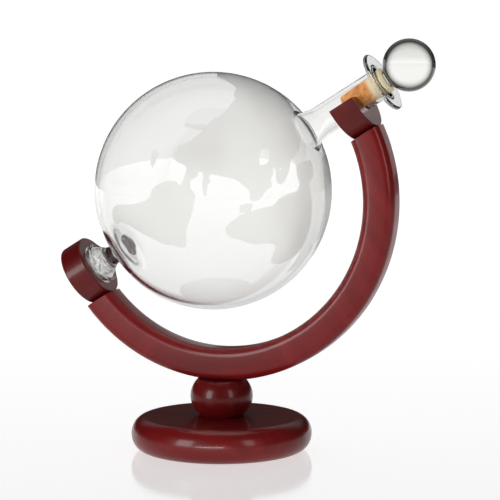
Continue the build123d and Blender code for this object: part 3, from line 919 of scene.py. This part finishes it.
for name, made in (
    ("base_pad", felt("base_felt")),
    ("base_washer", zinc_steel("washer_zinc")),
    ("base_screw", zinc_steel("screw_zinc")),
    ("arc_dowels", beech("dowel_beech")),
    ("cup_dowel", beech("cup_dowel_beech")),
    ("saddle_dowels", beech("saddle_dowel_beech")),
    ("bead_pins", beech("bead_pin_beech")),
):
    refinish(name, made)

# ---- studio ----


FLOOR_REACH, FLOOR_SIDES, FLOOR_GLOW = 2.5, 96, 0.58


def studio_floor():
    """Wide pale round floor with a glow of its own, glossy so that the base mirrors in it."""
    paper = Recipe("pale_floor", Roughness=0.11, IOR=1.48, Emission_Strength=FLOOR_GLOW,
                   Emission_Color=(1, 1, 1, 1))
    where = paper.place()
    tone = paper.noise(where, 3, 3)
    paper.to("Base Color", paper.ramp(tone, (0.0, (0.93, 0.93, 0.93)), (1.0, (0.96, 0.96, 0.96))))
    turns = [2 * math.pi * k / FLOOR_SIDES for k in range(FLOOR_SIDES)]
    points = [(FLOOR_REACH * math.cos(t), FLOOR_REACH * math.sin(t), 0) for t in turns]
    return mesh_piece("studio_floor", points, [list(range(FLOOR_SIDES))], paper.material)


floor = studio_floor()


def lit_group(name, members):
    """Collection of pieces, for a lamp to light or to be shaded by."""
    group = bpy.data.collections.new(name)
    for member in members:
        group.objects.link(member)
    return group


def softbox(name, where, target, size, power, group, shadows=None):
    """Soft lamp of a size in metres and a power in watts, which lights only one group."""
    light = bpy.data.lights.new(name, "AREA")
    light.shape = "RECTANGLE"
    light.size, light.size_y = size
    light.energy = power
    lamp = bpy.data.objects.new(name, light)
    lamp.location = where
    lamp.rotation_euler = (Vector(target) - Vector(where)).to_track_quat("-Z", "Y").to_euler()
    lamp.visible_camera = False
    lamp.light_linking.receiver_collection = group
    if shadows is not None:
        lamp.light_linking.blocker_collection = shadows
    bpy.context.scene.collection.objects.link(lamp)


AIM = (0.0, 0.0, 0.11)
solids = lit_group("lit_solids",
                   [o for o in nodes.values() if not o.hide_render] + bows + [bead, cork])
softbox("key_left", where=(-0.62, -1.15, 0.38), target=AIM, size=(0.5, 0.8), power=9.0,
        group=solids, shadows=solids)
softbox("fill_right", where=(1.05, -0.72, 0.52), target=AIM, size=(0.3, 0.8), power=2.8,
        group=solids, shadows=solids)
softbox("overhead", where=(0.0, 0.15, 1.25), target=AIM, size=(0.8, 0.6), power=1.3,
        group=solids, shadows=solids)
cradle = lit_group("lit_cradle", bows + [nodes["foot_cup"], nodes["neck_saddle"]])
softbox("low_front", where=(0.10, -0.95, 0.03), target=(0, 0, 0.01), size=(0.6, 0.10), power=3.4,
        group=lit_group("lit_base", [nodes["base_disc"]]), shadows=solids)
softbox("rim_behind", where=(0.15, 1.6, 0.42), target=AIM, size=(1.5, 0.5), power=1.7,
        group=cradle, shadows=solids)
softbox("paper_behind", where=(-2.09, 5.94, 1.45), target=(0, 0, 1.45), size=(14.0, 3.0),
        power=108, group=lit_group("lit_floor", [floor]))

world = bpy.data.worlds.new("studio")
bpy.context.scene.world = world
world.use_nodes = True
sky = world.node_tree
sky.nodes.clear()


def sky_node(kind, inputs=None, **settings):
    return new_node(sky, "ShaderNode" + kind, inputs, **settings)


def sky_range(value, low, high, out_low, out_high):
    return sky_node("MapRange", {
        "Value": value, "From Min": low, "From Max": high,
        "To Min": out_low, "To Max": out_high,
    }, interpolation_type="SMOOTHSTEP").outputs["Result"]


def sky_pick(chosen, otherwise, picked):
    return sky_node("Mix", {0: chosen, 2: otherwise, 3: picked}, data_type="FLOAT").outputs[0]


# a white studio: what shows through glass is bright at the horizon and dimmer overhead, and what
# the lacquer mirrors is dark near the horizon and brightest high up behind the object
BEHIND = (-0.20, 0.96, 0.15)
SOFT_STRENGTH, SEEN_STRENGTH = 0.11, 1.0
direction = sky_node("TexCoord").outputs["Generated"]
upward = sky_node("SeparateXYZ", {0: direction}).outputs["Z"]
behind = sky_node("VectorMath", {0: direction, 1: BEHIND},
                  operation="DOT_PRODUCT").outputs["Value"]
through_glass = sky_range(upward, low=0.30, high=0.80, out_low=1.0, out_high=0.62)
high_up = sky_range(upward, low=0.22, high=0.50, out_low=0.0, out_high=0.45)
wall_behind = sky_range(behind, low=0.60, high=0.92, out_low=0.04, out_high=0.95)
mirrored = sky_node("Math", {0: wall_behind, 1: high_up}, operation="MULTIPLY").outputs[0]
rays = sky_node("LightPath").outputs
strength = sky_pick(rays["Is Glossy Ray"], SOFT_STRENGTH, mirrored)
strength = sky_pick(rays["Is Transmission Ray"], strength, through_glass)
strength = sky_pick(rays["Is Camera Ray"], strength, SEEN_STRENGTH)
backdrop = sky_node("Background", {"Color": (1, 1, 1, 1), "Strength": strength})
sky_node("OutputWorld", {"Surface": backdrop.outputs[0]})

# ---- camera ----

CAMERA_AZIMUTH, CAMERA_ELEVATION = math.radians(19.34), math.radians(6.66)
CAMERA_TARGET = Vector((0.01788, 0, 0.12042))
CAMERA_DISTANCE = 1.4
SENSOR = 36.0              # mm
FOCAL = 4.76               # focal length in sensor widths

camera_data = bpy.data.cameras.new("camera")
camera_data.sensor_width = SENSOR
camera_data.lens = SENSOR * FOCAL
camera = bpy.data.objects.new("camera", camera_data)
back = Vector((
    math.sin(CAMERA_AZIMUTH) * math.cos(CAMERA_ELEVATION),
    -math.cos(CAMERA_AZIMUTH) * math.cos(CAMERA_ELEVATION),
    math.sin(CAMERA_ELEVATION),
))
camera.location = CAMERA_TARGET + back * CAMERA_DISTANCE
camera.rotation_mode = "QUATERNION"
camera.rotation_quaternion = (-back).to_track_quat("-Z", "Y")
bpy.context.scene.collection.objects.link(camera)
bpy.context.scene.camera = camera
bpy.context.scene.view_settings.view_transform = "Standard"
